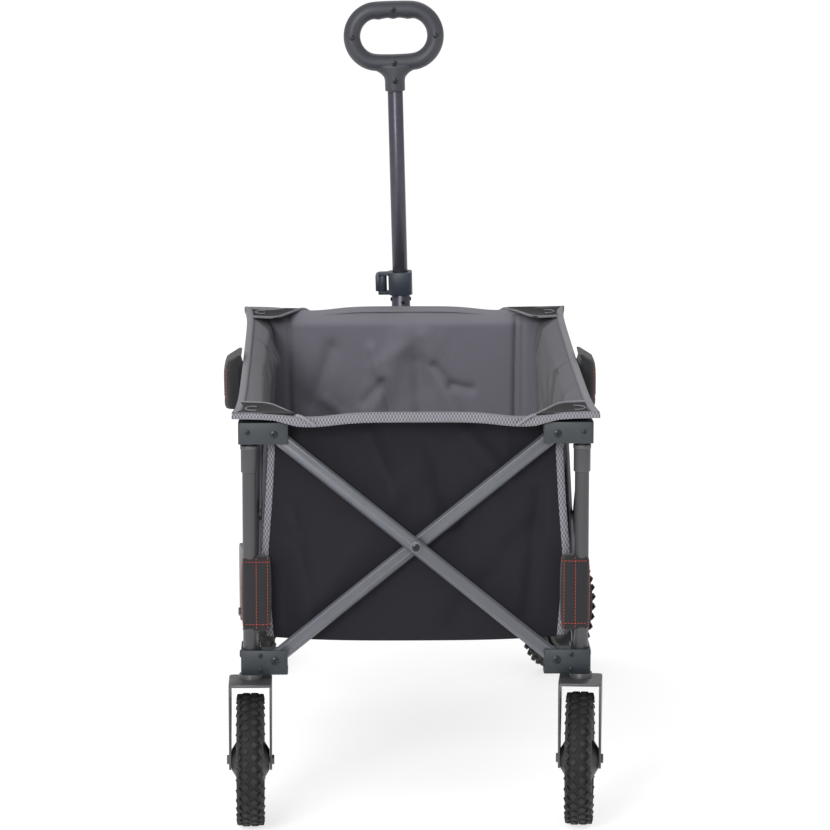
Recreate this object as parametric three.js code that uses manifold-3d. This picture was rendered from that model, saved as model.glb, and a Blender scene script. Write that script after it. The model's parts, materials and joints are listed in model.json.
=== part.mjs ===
// Folding wagon with a pull handle: four swivel wheels, a scissor frame that folds in both
// directions, a hung fabric bag with a base mat, and a telescoping handle at the front end.
// Millimetres, +Z up, +Y towards the handle, +X to the right seen from behind; the ground is z = 0.
import * as THREE from "three";
import { mergeVertices } from "three/addons/utils/BufferGeometryUtils.js";
import Module from "manifold-3d";

const wasm = await Module();
wasm.setup();

// ---- Driving sizes ----
const gap = 0.3; // between neighbouring pieces
const wheelDiameter = 178;
const wheelWidth = 37;
const casterTrail = 30; // axle behind the swivel axis
const armSpan = 374; // level distance between an arm's two end pivots
const armRise = 305; // height between them
const pivotInset = 33; // corner pivot to post axis
const midPivot = 30; // middle bracket's pivot from the wagon's middle
const lowerPivotZ = 219;
const armWidth = 20;
const armThick = 9;
const armWall = 1.8;
const armPlane = 5; // arm's mid-plane from its frame's plane
const pinRadius = 4;
const postRadius = 9.5;
const postWall = 1.3;
const innerTubeRadius = 7.7;
const bracketHalf = 12.5; // half width of a bracket's channel
const bracketWall = 2;
const lowerReach = 50; // lower bracket, post axis to open end
const upperReach = 52;
const bagWall = 3;
const bagFloorZ = 244;
const rimFlare = 38; // hem beyond the bag's wall
const handleLean = 1.5; // degrees towards -X
const handleTop = 1025;
const gripWidth = 152;
const gripHeight = 107;
const gripDepth = 30;
const pinSides = 12; // facets of pins and their holes
const tubeSides = 20;
const wheelSides = 28;
const casterTurns = { rear_left: 0, rear_right: -5, front_left: 187, front_right: 147 };

// ---- Sizes that follow ----
const postX = armSpan / 2 + pivotInset;
const postY = armSpan + pivotInset + midPivot;
const upperPivotZ = lowerPivotZ + armRise;
const lowerBase = lowerPivotZ - 19;
const lowerTop = lowerPivotZ + 14;
const upperBase = upperPivotZ - 13;
const upperTop = upperPivotZ + armWidth / 2 + 6;
const slotClear = armWidth / 2 + 1;
const wallX = postX - bracketHalf - gap; // outer faces of the bag's walls
const wallY = postY - bracketHalf - armPlane - gap;
const rimZ = upperTop + 1;
const matThick = 7;
const wheelRadius = wheelDiameter / 2;
const forkTop = lowerBase - 6.5;

// ---- Geometry helpers ----
// A closed three.js geometry as a solid; one wound inside out is turned round.
function solid(geometry) {
  geometry.deleteAttribute("normal");
  geometry.deleteAttribute("uv");
  const merged = mergeVertices(geometry, 1e-4);
  const tris = new Uint32Array(merged.index.array);
  const make = () =>
    new wasm.Manifold(
      new wasm.Mesh({ numProp: 3, vertProperties: merged.attributes.position.array, triVerts: tris }),
    );
  const first = make();
  if (first.volume() > 0) return first;
  for (let i = 0; i < tris.length; i += 3) [tris[i + 1], tris[i + 2]] = [tris[i + 2], tris[i + 1]];
  return make();
}

const vec = (x, y, z) => new THREE.Vector3(x, y, z);
const joined = (parts) => parts.reduce((a, b) => a.add(b));
const less = (body, cuts) => cuts.reduce((a, b) => a.subtract(b), body);

// A box between two opposite corners, given in any order.
function block(a, b) {
  const size = vec(Math.abs(b[0] - a[0]), Math.abs(b[1] - a[1]), Math.abs(b[2] - a[2]));
  const geometry = new THREE.BoxGeometry(size.x, size.y, size.z);
  return solid(geometry.translate((a[0] + b[0]) / 2, (a[1] + b[1]) / 2, (a[2] + b[2]) / 2));
}

function cylinder(from, to, radius, segments = pinSides) {
  const along = vec(...to).sub(vec(...from));
  const geometry = new THREE.CylinderGeometry(radius, radius, along.length(), segments);
  const turn = new THREE.Quaternion().setFromUnitVectors(vec(0, 1, 0), along.clone().normalize());
  geometry.applyQuaternion(turn);
  const middle = vec(...from).addScaledVector(along, 0.5);
  return solid(geometry.translate(middle.x, middle.y, middle.z));
}

// A polygon with every corner rounded by the same reach.
function rounded(points, reach, shape = new THREE.Shape()) {
  const at = points.map(([x, y]) => new THREE.Vector2(x, y));
  const n = at.length;
  at.forEach((corner, i) => {
    const before = at[(i + n - 1) % n].clone().sub(corner).setLength(reach).add(corner);
    const after = at[(i + 1) % n].clone().sub(corner).setLength(reach).add(corner);
    if (i === 0) shape.moveTo(before.x, before.y);
    else shape.lineTo(before.x, before.y);
    shape.quadraticCurveTo(corner.x, corner.y, after.x, after.y);
  });
  shape.closePath();
  return shape;
}

const rectangle = (w, h) => [
  [-w / 2, -h / 2],
  [w / 2, -h / 2],
  [w / 2, h / 2],
  [-w / 2, h / 2],
];

// A flat shape drawn on axes u and v at a start point, and pushed along u x v.
function pushed(shape, depth, u, v, start, options = {}) {
  const geometry = new THREE.ExtrudeGeometry(shape, {
    depth,
    bevelEnabled: false,
    curveSegments: 2,
    ...options,
  });
  const basis = new THREE.Matrix4().makeBasis(u, v, u.clone().cross(v));
  return solid(geometry.applyMatrix4(basis.setPosition(start)));
}

const axisX = vec(1, 0, 0);
const axisY = vec(0, 1, 0);
const axisZ = vec(0, 0, 1);

// A closed profile of [radius, distance along X] turned about the X axis, with a facet at the
// bottom, so that a wheel stands on a flat and not on an edge.
function turnedX(profile, segments) {
  const points = [...profile, profile[0]].map(([r, a]) => new THREE.Vector2(r, a));
  const geometry = new THREE.LatheGeometry(points, segments);
  return solid(geometry.rotateZ(-Math.PI / 2).rotateX(Math.PI / segments));
}

// ---- Finishes ----
const finishes = {
  bracket: ["#505a5f", 0.55, 0],
  lowerBracket: ["#40474d", 0.55, 0],
  post: ["#505051", 0.45, 0.6],
  arm: ["#6a6c73", 0.4, 0.7],
  tyre: ["#333233", 0.9, 0],
  hub: ["#3c3c40", 0.6, 0],
  fork: ["#4a4a4a", 0.45, 0.6],
  bag: ["#38373f", 0.95, 0],
  mat: ["#3d3c43", 0.95, 0],
  wrap: ["#38383a", 0.9, 0],
  handleTube: ["#5e5c66", 0.35, 0.8],
  clamp: ["#484d58", 0.5, 0],
  grip: ["#525659", 0.7, 0],
};

const wagon = new THREE.Group();
wagon.name = "folding_wagon";

// Adds a solid to a group as a named node.
function node(name, body, finish, parent = wagon) {
  const mesh = body.getMesh();
  const geometry = new THREE.BufferGeometry();
  const points = new Float32Array(mesh.numVert * 3);
  for (let i = 0; i < mesh.numVert; i++)
    points.set(mesh.vertProperties.subarray(i * mesh.numProp, i * mesh.numProp + 3), i * 3);
  geometry.setAttribute("position", new THREE.BufferAttribute(points, 3));
  geometry.setIndex(new THREE.BufferAttribute(mesh.triVerts, 1));
  const [color, roughness, metalness] = finishes[finish];
  const material = new THREE.MeshStandardMaterial({ color, roughness, metalness });
  const made = new THREE.Mesh(geometry, material);
  made.name = name;
  parent.add(made);
  return made;
}

// ---- Scissor arms ----
// A flat-sided oval tube with round ends, open along its length, between two pivots.
function armTube(from, to, across) {
  const along = to.clone().sub(from).normalize();
  const wide = along.clone().cross(across);
  const length = to.distanceTo(from);
  const end = armWidth / 2;
  const section = rounded(rectangle(armThick, armWidth), 3.2);
  const hollow = rectangle(armThick - 2 * armWall, armWidth - 2 * armWall);
  section.holes.push(rounded(hollow, 1.2, new THREE.Path()));
  const base = from.clone().addScaledVector(along, -end);
  const tube = pushed(section, length + 2 * end, across, wide, base, { curveSegments: 1 });
  const outline = rounded(
    [
      [-end, -end],
      [length + end, -end],
      [length + end, end],
      [-end, end],
    ],
    end * 0.95,
  );
  const depth = armThick + 2;
  const start = from.clone().addScaledVector(across, -depth / 2);
  return tube.intersect(pushed(outline, depth, along, across.clone().cross(along), start));
}

const onAxis = (point, across, distance) => point.clone().addScaledVector(across, distance).toArray();

// Holes for the end pins and, at the middle, a hole or the rivet that joins the pair.
function arm(from, to, across, rivetReach) {
  const middle = from.clone().add(to).multiplyScalar(0.5);
  const hole = (p, r) => cylinder(onAxis(p, across, -armThick), onAxis(p, across, armThick), r);
  const ends = [hole(from, pinRadius + gap), hole(to, pinRadius + gap)];
  const tube = less(armTube(from, to, across), ends);
  if (!rivetReach) return tube.subtract(hole(middle, pinRadius + 1 + gap));
  const [inner, outer] = rivetReach;
  const along = (a, b, r) => cylinder(onAxis(middle, across, a), onAxis(middle, across, b), r);
  const shank = along(inner, outer, pinRadius + 1);
  const sign = Math.sign(inner);
  const heads = [along(inner, inner + sign * 2, 8), along(outer, outer - sign * 2, 8)];
  return joined([tube, shank, ...heads]);
}

// The pair of one X: "a" runs in the inner plane and "b", with the rivet, in the outer one.
function scissors(names, plane, uLow, uHigh, finish = "arm") {
  const { at, axis, out } = plane;
  const low = (u, shift) => at(u, lowerPivotZ).addScaledVector(axis, shift * out);
  const high = (u, shift) => at(u, upperPivotZ).addScaledVector(axis, shift * out);
  const inner = -(2 * armPlane + armThick / 2 + gap) * out;
  const outer = (armThick / 2 + (plane.rivetOut || gap)) * out;
  node(names[0], arm(low(uLow, -armPlane), high(uHigh, -armPlane), axis), finish);
  node(names[1], arm(high(uLow, armPlane), low(uHigh, armPlane), axis, [inner, outer]), finish);
}

const mountPlate = 5;
for (const [end, out] of [
  ["rear", -1],
  ["front", 1],
]) {
  const at = (u, z) => vec(u, out * postY, z);
  const rivetOut = out > 0 ? 1 + mountPlate + gap : 0;
  const half = postX - pivotInset;
  scissors([end + "_arm_a", end + "_arm_b"], { at, axis: axisY, out, rivetOut }, -half, half);
}
for (const [side, out] of [
  ["left", -1],
  ["right", 1],
]) {
  const at = (u, z) => vec(out * postX, u, z);
  const plane = { at, axis: axisX, out };
  const corner = postY - pivotInset;
  scissors([side + "_arm_1a", side + "_arm_1b"], plane, -corner, -midPivot);
  scissors([side + "_arm_2a", side + "_arm_2b"], plane, midPivot, corner);
}

// ---- Brackets, posts and tubes ----
// A pin across a channel, with a spacer on the side where no arm runs.
function pivotPin(point, across, armSide) {
  const wall = bracketHalf - bracketWall / 2;
  const empty = -armSide;
  const inner = empty * (armThick / 2 + gap - armPlane);
  return joined([
    cylinder(onAxis(point, across, -wall), onAxis(point, across, wall), pinRadius),
    cylinder(onAxis(point, across, inner), onAxis(point, across, empty * wall), pinRadius + 3),
  ]);
}

// L-shaped outline of a corner bracket, from outside the post to each channel's open end.
function cornerOutline(sx, sy, outside, reach) {
  const x = (d) => sx * (postX - d);
  const y = (d) => sy * (postY - d);
  const points = [
    [x(-outside), y(-outside)],
    [x(reach), y(-bracketHalf)],
    [x(reach), y(bracketHalf)],
    [x(bracketHalf), y(bracketHalf)],
    [x(bracketHalf), y(reach)],
    [x(-bracketHalf), y(reach)],
  ];
  return rounded(points, 3);
}

// Channel slots of a corner bracket: open at the inner ends and at the top or the bottom.
function cornerSlots(sx, sy, reach, z0, z1) {
  const half = bracketHalf - bracketWall;
  const near = bracketHalf;
  const far = reach + 2;
  return [
    block([sx * (postX - near), sy * (postY - half), z0], [sx * (postX - far), sy * (postY + half), z1]),
    block([sx * (postX - half), sy * (postY - near), z0], [sx * (postX + half), sy * (postY - far), z1]),
  ];
}

// Which plane each corner's end arm and side arm run in: -1 inner, 1 outer.
const lowerSides = {
  rear_left: [-1, -1],
  rear_right: [1, -1],
  front_left: [-1, 1],
  front_right: [1, 1],
};
const corners = [
  ["rear_left", -1, -1],
  ["rear_right", 1, -1],
  ["front_left", -1, 1],
  ["front_right", 1, 1],
];

function cornerPins(name, sx, sy, z, upper) {
  const [endSide, sideSide] = lowerSides[name].map((s) => (upper ? -s : s));
  return [
    pivotPin(vec(sx * (postX - pivotInset), sy * postY, z), axisY, endSide * sy),
    pivotPin(vec(sx * postX, sy * (postY - pivotInset), z), axisX, sideSide * sx),
  ];
}

const stemRadius = 6;
for (const [name, sx, sy] of corners) {
  const px = sx * postX;
  const py = sy * postY;
  const seat = lowerBase + 6;
  const footShape = cornerOutline(sx, sy, bracketHalf, lowerReach);
  const foot = pushed(footShape, lowerTop - lowerBase, axisX, axisY, vec(0, 0, lowerBase));
  const slots = cornerSlots(sx, sy, lowerReach, lowerPivotZ - slotClear, lowerTop + 1);
  const socket = cylinder([px, py, seat], [px, py, lowerTop + 1], postRadius + gap, tubeSides);
  const stemHole = cylinder([px, py, lowerBase - 1], [px, py, seat + 1], stemRadius + gap);
  const pins = cornerPins(name, sx, sy, lowerPivotZ, false);
  node(name + "_foot", joined([less(foot, [...slots, socket, stemHole]), ...pins]), "lowerBracket");

  const collarBase = upperBase - 39;
  const collarTop = upperBase - 3;
  const post = joined([
    cylinder([px, py, seat + gap], [px, py, collarBase + 6], postRadius, tubeSides),
    cylinder([px, py, collarBase], [px, py, collarTop - 5], postRadius + 1.75, tubeSides),
    cylinder([px, py, collarTop - 5.5], [px, py, collarTop], postRadius + 2.5, tubeSides),
  ]);
  const bore = cylinder([px, py, seat - 1], [px, py, collarTop + 1], postRadius - postWall, tubeSides);
  node(name + "_post", post.subtract(bore), "post");

  const headShape = cornerOutline(sx, sy, bracketHalf + 2, upperReach);
  const head = pushed(headShape, upperTop - upperBase, axisX, axisY, vec(0, 0, upperBase));
  const cuts = cornerSlots(sx, sy, upperReach, upperBase - 1, upperPivotZ + slotClear);
  const tubeBase = collarBase - 181;
  const inner = cylinder([px, py, tubeBase], [px, py, upperBase + 2], innerTubeRadius, tubeSides);
  const hollow = cylinder([px, py, tubeBase - 1], [px, py, upperBase], innerTubeRadius - postWall, tubeSides);
  const tops = cornerPins(name, sx, sy, upperPivotZ, true);
  node(name + "_head", joined([less(head, cuts), inner, ...tops]).subtract(hollow), "bracket");
}

// Middle brackets of the long sides: one channel with a pivot near each end.
const midReach = midPivot + 20;
for (const [side, sx] of [
  ["left", -1],
  ["right", 1],
]) {
  for (const [kind, z0, z1, pivotZ, open] of [
    ["foot", lowerBase, lowerTop, lowerPivotZ, 1],
    ["head", upperBase, upperTop, upperPivotZ, -1],
  ]) {
    const outline = rounded(rectangle(2 * bracketHalf, 2 * midReach), 3);
    const body = pushed(outline, z1 - z0, axisX, axisY, vec(sx * postX, 0, z0));
    const half = bracketHalf - bracketWall;
    const slotFrom = pivotZ - open * slotClear;
    const slotTo = open > 0 ? z1 + 1 : z0 - 1;
    const slots = [-1, 1].map((s) =>
      block([sx * postX - half, s * 8, slotFrom], [sx * postX + half, s * (midReach + 2), slotTo]),
    );
    const pins = [-1, 1].map((s) =>
      pivotPin(vec(sx * postX, s * midPivot, pivotZ), axisX, s * open * -sx),
    );
    const finish = open > 0 ? "lowerBracket" : "bracket";
    node(side + "_mid_" + kind, joined([less(body, slots), ...pins]), finish);
  }
}

// ---- Swivel wheels ----
// Fork about the swivel axis, with the axle trailing towards -Y.
function forkBody() {
  const outer = wheelWidth / 2 + 10;
  const sheet = 3;
  const top = [
    [-outer, -casterTrail - 16],
    [outer, -casterTrail - 16],
    [outer, 20],
    [-outer, 20],
  ];
  const plate = pushed(rounded(top, 7), 3.5, axisX, axisY, vec(0, 0, forkTop - 3.5));
  const leg = [
    [18, forkTop - 1],
    [-casterTrail - 16, forkTop - 1],
    [-casterTrail - 16, forkTop - 30],
    [-casterTrail - 12, wheelRadius - 13],
    [-casterTrail + 12, wheelRadius - 13],
    [-casterTrail + 15, wheelRadius + 28],
    [18, forkTop - 26],
  ];
  const legs = [-outer, outer - sheet].map((x) =>
    pushed(rounded(leg, 7), sheet, axisY, axisZ, vec(x, 0, 0)),
  );
  const axleEnd = outer + 3;
  const axle = (x0, x1, r, n) =>
    cylinder([x0, -casterTrail, wheelRadius], [x1, -casterTrail, wheelRadius], r, n);
  return joined([
    plate,
    ...legs,
    cylinder([0, 0, forkTop - 1], [0, 0, lowerBase - gap], 15, tubeSides),
    cylinder([0, 0, forkTop - 1], [0, 0, lowerBase + 5], stemRadius),
    axle(-outer, outer, pinRadius, 20),
    axle(-axleEnd, -outer + 1, 6.5, 6),
    axle(outer - 1, axleEnd, 6.5, 6),
  ]);
}

const rimRadius = wheelRadius * 0.66;
function hubBody() {
  const core = wheelWidth / 2 + 6.5;
  const half = [
    [pinRadius + gap, core],
    [14, core],
    [rimRadius - 12, 5],
    [rimRadius - 6, wheelWidth * 0.42],
    [rimRadius, wheelWidth * 0.42],
  ];
  const profile = [...half, ...half.map(([r, a]) => [r, -a]).reverse()];
  return turnedX(profile, wheelSides);
}

function tyreBody() {
  const half = wheelWidth / 2;
  const seat = rimRadius + gap;
  const side = [
    [seat, half * 0.8],
    [seat + 10, half],
    [wheelRadius - 7, half * 0.88],
    [wheelRadius, half * 0.35],
  ];
  const other = side.map(([r, a]) => [r, -a]).reverse();
  return turnedX([...side, ...other], wheelSides);
}

const fork = forkBody();
const hub = hubBody();
const tyre = tyreBody();
for (const [name, sx, sy] of corners) {
  const caster = new THREE.Group();
  caster.position.set(sx * postX, sy * postY, 0);
  caster.rotation.z = THREE.MathUtils.degToRad(casterTurns[name]);
  node(name + "_fork", fork, "fork", caster);
  node(name + "_hub", hub, "hub", caster).position.set(0, -casterTrail, wheelRadius);
  node(name + "_tyre", tyre, "tyre", caster).position.set(0, -casterTrail, wheelRadius);
  wagon.add(caster);
}

// ---- Fabric bag ----
// Wall with a flared hem over the brackets: [distance out of the wall's inner face, height].
const hemHeight = 13;
const hemOut = bagWall + rimFlare;
const hem = [
  [0, rimZ],
  [bagWall, rimZ],
  [hemOut, rimZ],
  [hemOut, rimZ + hemHeight],
  [hemOut - bagWall, rimZ + hemHeight],
  [hemOut - bagWall, rimZ + bagWall],
  [0, rimZ + bagWall],
];
const hemShape = () => new THREE.Shape(hem.map(([x, y]) => new THREE.Vector2(x, y)));
const innerX = wallX - bagWall;
const innerY = wallY - bagWall;
for (const [name, sx] of [
  ["bag_left", -1],
  ["bag_right", 1],
]) {
  const wall = block([sx * innerX, -innerY + gap, bagFloorZ], [sx * wallX, innerY - gap, rimZ + 2]);
  const long = 2 * (innerY - gap);
  const outwards = vec(sx, 0, 0);
  const band = pushed(hemShape(), long, outwards, axisZ, vec(sx * innerX, (sx * long) / 2, 0));
  node(name, wall.add(band), "bag");
}
for (const [name, sy] of [
  ["bag_rear", -1],
  ["bag_front", 1],
]) {
  const wall = block([-wallX, sy * innerY, bagFloorZ], [wallX, sy * wallY, rimZ + 2]);
  const long = 2 * (innerX + hemOut);
  const outwards = vec(0, sy, 0);
  const band = pushed(hemShape(), long, outwards, axisZ, vec((-sy * long) / 2, sy * innerY, 0));
  node(name, wall.add(band), "bag");
}
const floorTop = bagFloorZ + bagWall;
const edgeX = innerX - gap;
const edgeY = innerY - gap;
node("bag_floor", block([-edgeX, -edgeY, bagFloorZ], [edgeX, edgeY, floorTop]), "bag");
const matOutline = rounded(rectangle(2 * edgeX - 4, 2 * edgeY - 4), 8);
node("base_mat", pushed(matOutline, matThick, axisX, axisY, vec(0, 0, floorTop + gap)), "mat");

// Padded sleeves that tie the bag's corners to the posts.
const sleeveBase = 257;
const sleeveHeight = 103;
const sleeveIn = 29;
for (const [name, sx, sy] of corners) {
  const outline = [
    [sx * (postX + bracketHalf), sy * (postY + bracketHalf)],
    [sx * (postX - sleeveIn), sy * (postY + bracketHalf)],
    [sx * (postX - sleeveIn), sy * (wallY + gap)],
    [sx * (postX + bracketHalf), sy * (wallY + gap)],
  ];
  const body = pushed(rounded(outline, 6), sleeveHeight, axisX, axisY, vec(0, 0, sleeveBase));
  const from = [sx * postX, sy * postY, sleeveBase - 1];
  const to = [sx * postX, sy * postY, sleeveBase + sleeveHeight + 1];
  node(name + "_sleeve", body.subtract(cylinder(from, to, postRadius + gap, tubeSides)), "wrap");
}

// Flaps sewn to the hem that wrap the middle brackets from outside.
const hemX = innerX + hemOut + gap;
const flapLength = 84;
for (const [side, sx] of [
  ["left", -1],
  ["right", 1],
]) {
  const face = hemX - postX;
  const outer = [
    [face, rimZ + 11],
    [face + 4, rimZ + 11],
    [face + 15, rimZ],
    [face + 17, upperPivotZ - 4],
    [face + 12, upperPivotZ - 32],
    [face - 4, upperPivotZ - 35],
    [face - 4, upperPivotZ - 31],
    [face + 9, upperPivotZ - 28],
    [face + 13, upperPivotZ - 4],
    [face + 11, rimZ - 1],
  ];
  const shape = new THREE.Shape(outer.map(([x, y]) => new THREE.Vector2(x, y)));
  const start = vec(sx * postX, (sx * flapLength) / 2, 0);
  node(side + "_flap", pushed(shape, flapLength, vec(sx, 0, 0), axisZ, start), "wrap");
}

// ---- Pull handle ----
const hingeZ = (lowerPivotZ + upperPivotZ) / 2;
const plateY = postY + armPlane + armThick / 2 + 1;
const tubeRadius = 14;
const rodRadius = 11.5;
const tubeY = plateY + 31;
const hingeY = tubeY + 8;
const clevisIn = tubeRadius + 1.2;

// Upright clevis on the front scissors' middle rivet.
function handleMount() {
  const half = clevisIn + 3;
  const plateEnd = plateY + mountPlate;
  const plate = block([-half, plateY, hingeZ - 24], [half, plateEnd, hingeZ + 34]);
  const hole = cylinder([0, plateY - 1, hingeZ], [0, plateEnd + 1, hingeZ], pinRadius + 1 + gap);
  const ear = [
    [plateY + 1, hingeZ - 24],
    [hingeY + 4, hingeZ - 16],
    [hingeY + 15, hingeZ - 8],
    [hingeY + 15, hingeZ + 10],
    [hingeY + 4, hingeZ + 18],
    [plateY + 1, hingeZ + 34],
  ];
  const ears = [-half, clevisIn].map((x) => pushed(rounded(ear, 4), 3, axisY, axisZ, vec(x, 0, 0)));
  const pin = cylinder([-clevisIn - 5, hingeY, hingeZ], [clevisIn + 5, hingeY, hingeZ], pinRadius);
  return joined([plate.subtract(hole), ...ears, pin]);
}
node("handle_mount", handleMount(), "lowerBracket");

// The handle is built on its own axis and leans about its hinge; heights are from the hinge.
const handle = new THREE.Group();
handle.position.set(0, tubeY, hingeZ);
handle.rotation.y = -THREE.MathUtils.degToRad(handleLean);
wagon.add(handle);

const tubeTop = upperPivotZ + 66 - hingeZ;
const clampBase = tubeTop - 11;
const clampTop = tubeTop + 23;
const rodBase = tubeTop - 30;
const gripTop = handleTop - hingeZ;
const loopBase = gripTop - gripHeight;
const neckBase = loopBase - 25;
const rodTop = loopBase - 4;

const tubeBody = cylinder([0, 0, -17], [0, 0, tubeTop], tubeRadius, tubeSides);
const tubeBore = cylinder([0, 0, -18], [0, 0, tubeTop + 1], rodRadius + 0.5, tubeSides);
const hingeHole = cylinder([-20, hingeY - tubeY, 0], [20, hingeY - tubeY, 0], pinRadius + 0.8);
node("handle_tube", less(tubeBody, [tubeBore, hingeHole]), "handleTube", handle);

const rodBody = cylinder([0, 0, rodBase], [0, 0, rodTop], rodRadius, tubeSides);
const rodBore = cylinder([0, 0, rodBase - 1], [0, 0, rodTop + 1], rodRadius - 1.3, tubeSides);
node("handle_rod", rodBody.subtract(rodBore), "handleTube", handle);

// Split collar with two ears on the left that hold the lever's pin.
const leverX = -27;
function clampBody() {
  const outline = rounded(rectangle(36, 38), 9);
  const ring = pushed(outline, clampTop - clampBase, axisX, axisY, vec(0, 0, clampBase));
  const ear = rounded(
    [
      [leverX - 7, -7],
      [-12, -9],
      [-12, 9],
      [leverX - 7, 7],
    ],
    4,
  );
  const ears = [clampBase, clampTop - 5].map((z) => pushed(ear, 5, axisX, axisY, vec(0, 0, z)));
  const pin = cylinder([leverX, 0, clampBase + 1], [leverX, 0, clampTop - 1], 2.5, pinSides);
  const cuts = [
    cylinder([0, 0, clampBase - 1], [0, 0, tubeTop + gap], tubeRadius + gap, tubeSides),
    cylinder([0, 0, tubeTop], [0, 0, clampTop + 1], rodRadius + 0.5, tubeSides),
    block([-1.5, 10, clampBase - 1], [1.5, 20, clampTop + 1]),
  ];
  return less(joined([ring, ...ears, pin]), cuts);
}
node("clamp_body", clampBody(), "clamp", handle);

function leverBody() {
  const z0 = clampBase + 5 + gap;
  const z1 = clampTop - 5 - gap;
  const paddle = rounded(
    [
      [leverX - 11, -5],
      [leverX - 3, -5],
      [leverX - 3, 36],
      [leverX - 9, 36],
    ],
    2.5,
  );
  const barrel = cylinder([leverX, 0, z0], [leverX, 0, z1], 6.5, tubeSides);
  const hole = cylinder([leverX, 0, z0 - 1], [leverX, 0, z1 + 1], 2.5 + gap, pinSides);
  return barrel.add(pushed(paddle, z1 - z0, axisX, axisY, vec(0, 0, z0))).subtract(hole);
}
node("clamp_lever", leverBody(), "clamp", handle);

// Loop grip with a finger opening; two half shells meet on the handle's middle plane.
// Right half of the outline, from the foot of the neck up to the top of the loop.
function gripSide() {
  const half = gripWidth / 2;
  const r = gripHeight / 2;
  const middle = gripTop - r;
  const neck = 15.5;
  const path = new THREE.Path();
  path.moveTo(neck, neckBase);
  path.lineTo(neck, loopBase - 6);
  path.quadraticCurveTo(neck, loopBase, half - r, loopBase);
  path.absarc(half - r, middle, r, -Math.PI / 2, 0, false);
  path.quadraticCurveTo(half - 1, gripTop - 6, half - r - 6, gripTop);
  return path.getPoints(4);
}

// An oblong opening with round ends and three finger bumps along its top.
function fingerHole() {
  const bar = 25;
  const z0 = loopBase + bar + 1;
  const z1 = gripTop - bar - 2;
  const round = (z1 - z0) / 2;
  const reach = gripWidth / 2 - bar - round;
  const hole = new THREE.Path();
  hole.absarc(reach, z0 + round, round, -Math.PI / 2, Math.PI / 2, false);
  const step = (2 * reach) / 4;
  for (let i = 0; i < 4; i++) {
    const from = reach - i * step;
    hole.quadraticCurveTo(from - step / 2, z1 + 4, from - step, z1 - (i < 3 ? 2 : 0));
  }
  hole.absarc(-reach, z0 + round, round, Math.PI / 2, (3 * Math.PI) / 2, false);
  return new THREE.Path(hole.getPoints(3));
}

function gripShape() {
  const right = gripSide();
  const left = right.map((p) => new THREE.Vector2(-p.x, p.y)).reverse();
  const shape = new THREE.Shape([...right, ...left]);
  shape.holes.push(fingerHole());
  return shape;
}

const soften = {
  bevelEnabled: true,
  bevelThickness: 8,
  bevelSize: 7,
  bevelOffset: -7,
  bevelSegments: 2,
};
const plainDepth = gripDepth - 2 * soften.bevelThickness;
const gripStart = vec(0, plainDepth / 2, 0);
const gripBody = pushed(gripShape(), plainDepth, axisX, axisZ, gripStart, soften);
const gripSocket = cylinder([0, 0, neckBase - 1], [0, 0, rodTop + gap], rodRadius + gap, tubeSides);
for (const [name, sy] of [
  ["grip_back", -1],
  ["grip_front", 1],
]) {
  const half = block([-gripWidth, (sy * gap) / 2, neckBase - 5], [gripWidth, sy * gripDepth, gripTop + 5]);
  node(name, gripBody.intersect(half).subtract(gripSocket), "grip", handle);
}

// The origin is on the ground under the middle of the whole object's box.
wagon.updateMatrixWorld(true);
const box = new THREE.Box3().setFromObject(wagon, true);
wagon.position.set(-(box.min.x + box.max.x) / 2, -(box.min.y + box.max.y) / 2, -box.min.z);
wagon.updateMatrixWorld(true);

export default wagon;
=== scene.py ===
import json
import math
import random
import bpy
import numpy as np
from mathutils import Matrix, Vector


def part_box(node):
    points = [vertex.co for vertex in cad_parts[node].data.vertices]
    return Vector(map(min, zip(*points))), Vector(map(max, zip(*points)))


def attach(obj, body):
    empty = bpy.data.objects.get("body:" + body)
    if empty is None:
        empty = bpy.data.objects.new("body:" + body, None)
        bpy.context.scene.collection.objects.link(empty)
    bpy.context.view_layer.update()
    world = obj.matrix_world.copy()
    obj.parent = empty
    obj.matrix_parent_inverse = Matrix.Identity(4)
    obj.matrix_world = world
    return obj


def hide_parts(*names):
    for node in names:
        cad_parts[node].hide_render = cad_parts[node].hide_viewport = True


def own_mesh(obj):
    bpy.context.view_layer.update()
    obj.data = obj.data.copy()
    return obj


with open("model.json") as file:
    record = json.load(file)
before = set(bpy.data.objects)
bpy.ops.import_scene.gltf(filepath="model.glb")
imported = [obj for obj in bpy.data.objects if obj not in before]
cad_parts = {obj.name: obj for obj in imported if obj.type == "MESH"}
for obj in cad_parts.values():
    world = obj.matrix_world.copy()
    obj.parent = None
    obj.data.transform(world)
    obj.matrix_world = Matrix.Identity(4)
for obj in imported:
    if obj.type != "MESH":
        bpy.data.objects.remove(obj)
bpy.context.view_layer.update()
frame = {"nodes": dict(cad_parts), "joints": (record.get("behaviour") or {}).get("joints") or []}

# ---- Camera, floor and light ----
# A long lens a little above the wagon, behind its rear end and looking towards the handle,
# over a wide pale floor under one big soft lamp, a weaker one and a white room.
mat_low, mat_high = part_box("base_mat")
MIDDLE = (mat_low + mat_high) / 2
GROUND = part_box("rear_left_tyre")[0].z


def spot(x, y, z):
    """A point from its distances to the wagon's middle and the ground, in metres."""
    return Vector((MIDDLE.x + x, MIDDLE.y + y, GROUND + z - 0.00056))


bpy.ops.object.select_all(action="DESELECT")
bpy.ops.object.camera_add(
    location=spot(-0.11088, -6.19673, 1.5292),
    rotation=(math.radians(90 - 9.6702), 0, math.radians(-1.0924)),
)
camera = bpy.context.object
camera.data.lens = 192.16
camera.data.sensor_width = 36
camera.data.clip_end = 200
bpy.context.scene.camera = camera
bpy.context.scene.view_settings.view_transform = "Standard"


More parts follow.
